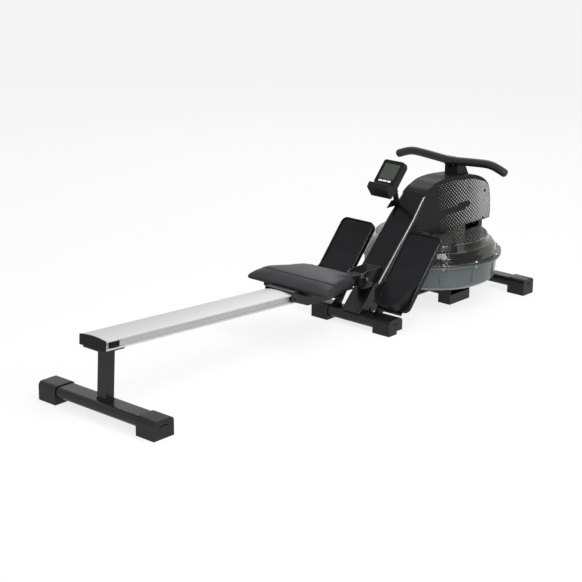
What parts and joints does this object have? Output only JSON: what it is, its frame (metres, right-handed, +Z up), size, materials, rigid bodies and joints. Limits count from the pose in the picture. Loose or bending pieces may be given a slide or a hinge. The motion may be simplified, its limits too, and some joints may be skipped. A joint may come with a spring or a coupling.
{
  "type": "water rowing machine",
  "caption": "Rowing machine with a round water tank and impeller, foot plates, pull handle, tilting display and a seat rolling on a folding aluminium rail.",
  "frame": {"origin": "on the floor, under the middle of the machine", "axes": "+X from the rear foot towards the tank, +Y to the left of the rower, +Z up"},
  "size_m": [2.0004, 0.52, 0.562],
  "materials": {
    "satin_black_steel": "satin black paint",
    "black_cast_aluminium": "satin black paint",
    "black_plastic": "fine grained black",
    "gloss_black_plastic": "glossy black",
    "black_rubber": "matt black",
    "anodised_aluminium": "satin anodised",
    "black_vinyl": "soft grained vinyl",
    "foam_grip": "soft matt foam",
    "smoke_clear": "clear, smoke tinted",
    "zinc_steel": "zinc plated",
    "grey_nylon": "smooth nylon",
    "screen_glass": "grey display window",
    "silver_plastic": "silver",
    "black_webbing": "woven"
  },
  "bodies": {
    "frame": {"front_foot_tube": "satin_black_steel", "front_foot_cap_left": "black_rubber", "front_foot_cap_right": "black_rubber", "mid_foot_tube": "satin_black_steel", "mid_foot_cap_left": "black_rubber", "mid_foot_cap_right": "black_rubber", "base_beam": "satin_black_steel", "column_tube": "satin_black_steel", "front_upright": "satin_black_steel", "bridge_channel": "satin_black_steel", "column_cover": "black_plastic", "hood_roof": "black_plastic", "hood_side_left": "gloss_black_plastic", "hood_side_right": "gloss_black_plastic", "handle_cradle": "black_plastic", "console_arm": "black_plastic", "foot_plate_left": "black_plastic", "foot_plate_right": "black_plastic", "tank_bowl": "smoke_clear", "tank_dome": "smoke_clear", "shaft_seal": "black_rubber", "lower_bearing": "grey_nylon", "upper_bearing": "zinc_steel", "rail_socket": "satin_black_steel", "fold_pin": "zinc_steel", "pull_strap": "black_webbing", "return_cord": "black_webbing"},
    "rail": {"rail": "anodised_aluminium", "rail_end_cap": "black_plastic", "rail_stop_left": "black_plastic", "rail_stop_right": "black_plastic", "rail_knuckle": "black_cast_aluminium", "rear_leg": "satin_black_steel", "rear_foot_cap_left": "black_rubber", "rear_foot_cap_right": "black_rubber"},
    "seat": {"seat_cushion": "black_vinyl", "seat_base": "gloss_black_plastic", "seat_carriage": "satin_black_steel"},
    "handle": {"handle_bar": "satin_black_steel", "handle_grip_left": "foam_grip", "handle_grip_right": "foam_grip"},
    "drum": {"strap_drum": "black_plastic", "one_way_clutch": "zinc_steel"},
    "impeller": {"impeller": "black_plastic", "impeller_shaft": "zinc_steel"},
    "upper_pulley": {"upper_guide_pulley": "grey_nylon"},
    "lower_pulley": {"lower_guide_pulley": "grey_nylon"},
    "console": {"console_case": "black_plastic", "console_screen": "screen_glass"},
    "button_1": {"console_button_1": "silver_plastic"},
    "button_2": {"console_button_2": "silver_plastic"},
    "button_3": {"console_button_3": "silver_plastic"},
    "heel_left": {"heel_cup_left": "black_plastic"},
    "heel_right": {"heel_cup_right": "black_plastic"},
    "fold_knob": {"fold_knob": "black_plastic"},
    "fill_plug": {"fill_plug": "black_rubber"},
    "roller_rear_left": {"seat_roller_rear_left": "grey_nylon"},
    "roller_rear_right": {"seat_roller_rear_right": "grey_nylon"},
    "roller_front_left": {"seat_roller_front_left": "grey_nylon"},
    "roller_front_right": {"seat_roller_front_right": "grey_nylon"}
  },
  "joints": [
    {"name": "rail_fold", "type": "hinge", "parent": "frame", "child": "rail", "pos_m": [0.26046, 0, 0.17149], "axis": [0, 1, 0], "range_deg": [0, 75]},
    {"name": "seat_slide", "type": "slide", "parent": "rail", "child": "seat", "axis": [-0.9984, 0, 0.0567], "range_m": [0, 0.775]},
    {"name": "roller_rear_left_spin", "type": "hinge", "parent": "seat", "child": "roller_rear_left", "pos_m": [-0.15262, 0.05115, 0.19945], "axis": [0, 1, 0], "range_deg": [-4430, 0]},
    {"name": "roller_rear_right_spin", "type": "hinge", "parent": "seat", "child": "roller_rear_right", "pos_m": [-0.15262, -0.05115, 0.19945], "axis": [0, 1, 0], "range_deg": [-4430, 0]},
    {"name": "roller_front_left_spin", "type": "hinge", "parent": "seat", "child": "roller_front_left", "pos_m": [0.10876, 0.05115, 0.18461], "axis": [0, 1, 0], "range_deg": [-4430, 0]},
    {"name": "roller_front_right_spin", "type": "hinge", "parent": "seat", "child": "roller_front_right", "pos_m": [0.10876, -0.05115, 0.18461], "axis": [0, 1, 0], "range_deg": [-4430, 0]},
    {"name": "handle_pull", "type": "slide", "parent": "frame", "child": "handle", "axis": [-0.9613, 0, 0.2756], "range_m": [0, 0.9], "stiffness_N_per_m": 15, "springref_m": -0.2, "deforming": ["pull_strap", "return_cord"]},
    {"name": "drum_spin", "type": "hinge", "parent": "frame", "child": "drum", "pos_m": [0.68464, 0, 0.281], "axis": [0, 0, 1], "range_deg": [0, 1730]},
    {"name": "impeller_spin", "type": "hinge", "parent": "frame", "child": "impeller", "pos_m": [0.68464, 0, 0.149], "axis": [0, 0, 1], "range_deg": [0, 1730]},
    {"name": "upper_pulley_spin", "type": "hinge", "parent": "frame", "child": "upper_pulley", "pos_m": [0.81764, 0, 0.46686], "axis": [0, 1, 0], "range_deg": [-3950, 0]},
    {"name": "lower_pulley_spin", "type": "hinge", "parent": "frame", "child": "lower_pulley", "pos_m": [0.81764, 0, 0.2933], "axis": [0, 1, 0], "range_deg": [-3950, 0]},
    {"name": "console_tilt", "type": "hinge", "parent": "frame", "child": "console", "pos_m": [0.4436, 0, 0.45203], "axis": [0, 1, 0], "range_deg": [-20, 20]},
    {"name": "button_1_press", "type": "slide", "parent": "console", "child": "button_1", "axis": [0.7466, 0, -0.6652], "range_m": [0, 0.0012], "stiffness_N_per_m": 400},
    {"name": "button_2_press", "type": "slide", "parent": "console", "child": "button_2", "axis": [0.7466, 0, -0.6652], "range_m": [0, 0.0012], "stiffness_N_per_m": 400},
    {"name": "button_3_press", "type": "slide", "parent": "console", "child": "button_3", "axis": [0.7466, 0, -0.6652], "range_m": [0, 0.0012], "stiffness_N_per_m": 400},
    {"name": "heel_left_slide", "type": "slide", "parent": "frame", "child": "heel_left", "axis": [0.6574, 0, 0.7536], "range_m": [0, 0.055]},
    {"name": "heel_right_slide", "type": "slide", "parent": "frame", "child": "heel_right", "axis": [0.6574, 0, 0.7536], "range_m": [0, 0.055]},
    {"name": "fold_knob_turn", "type": "hinge", "parent": "frame", "child": "fold_knob", "pos_m": [0.22452, -0.03715, 0.17353], "axis": [0, 1, 0], "range_deg": [0, 360]},
    {"name": "fill_plug_lift", "type": "slide", "parent": "frame", "child": "fill_plug", "axis": [0, 0, 1], "range_m": [0, 0.03]}
  ],
  "couplings": [
    {"joint": "roller_rear_left_spin", "follows": "seat_slide", "rad_per_m": -98.039},
    {"joint": "roller_rear_right_spin", "follows": "seat_slide", "rad_per_m": -98.039},
    {"joint": "roller_front_left_spin", "follows": "seat_slide", "rad_per_m": -98.039},
    {"joint": "roller_front_right_spin", "follows": "seat_slide", "rad_per_m": -98.039},
    {"joint": "drum_spin", "follows": "handle_pull", "rad_per_m": 33.333},
    {"joint": "impeller_spin", "follows": "handle_pull", "rad_per_m": 33.333},
    {"joint": "upper_pulley_spin", "follows": "handle_pull", "rad_per_m": -76.336},
    {"joint": "lower_pulley_spin", "follows": "handle_pull", "rad_per_m": -76.336}
  ]
}
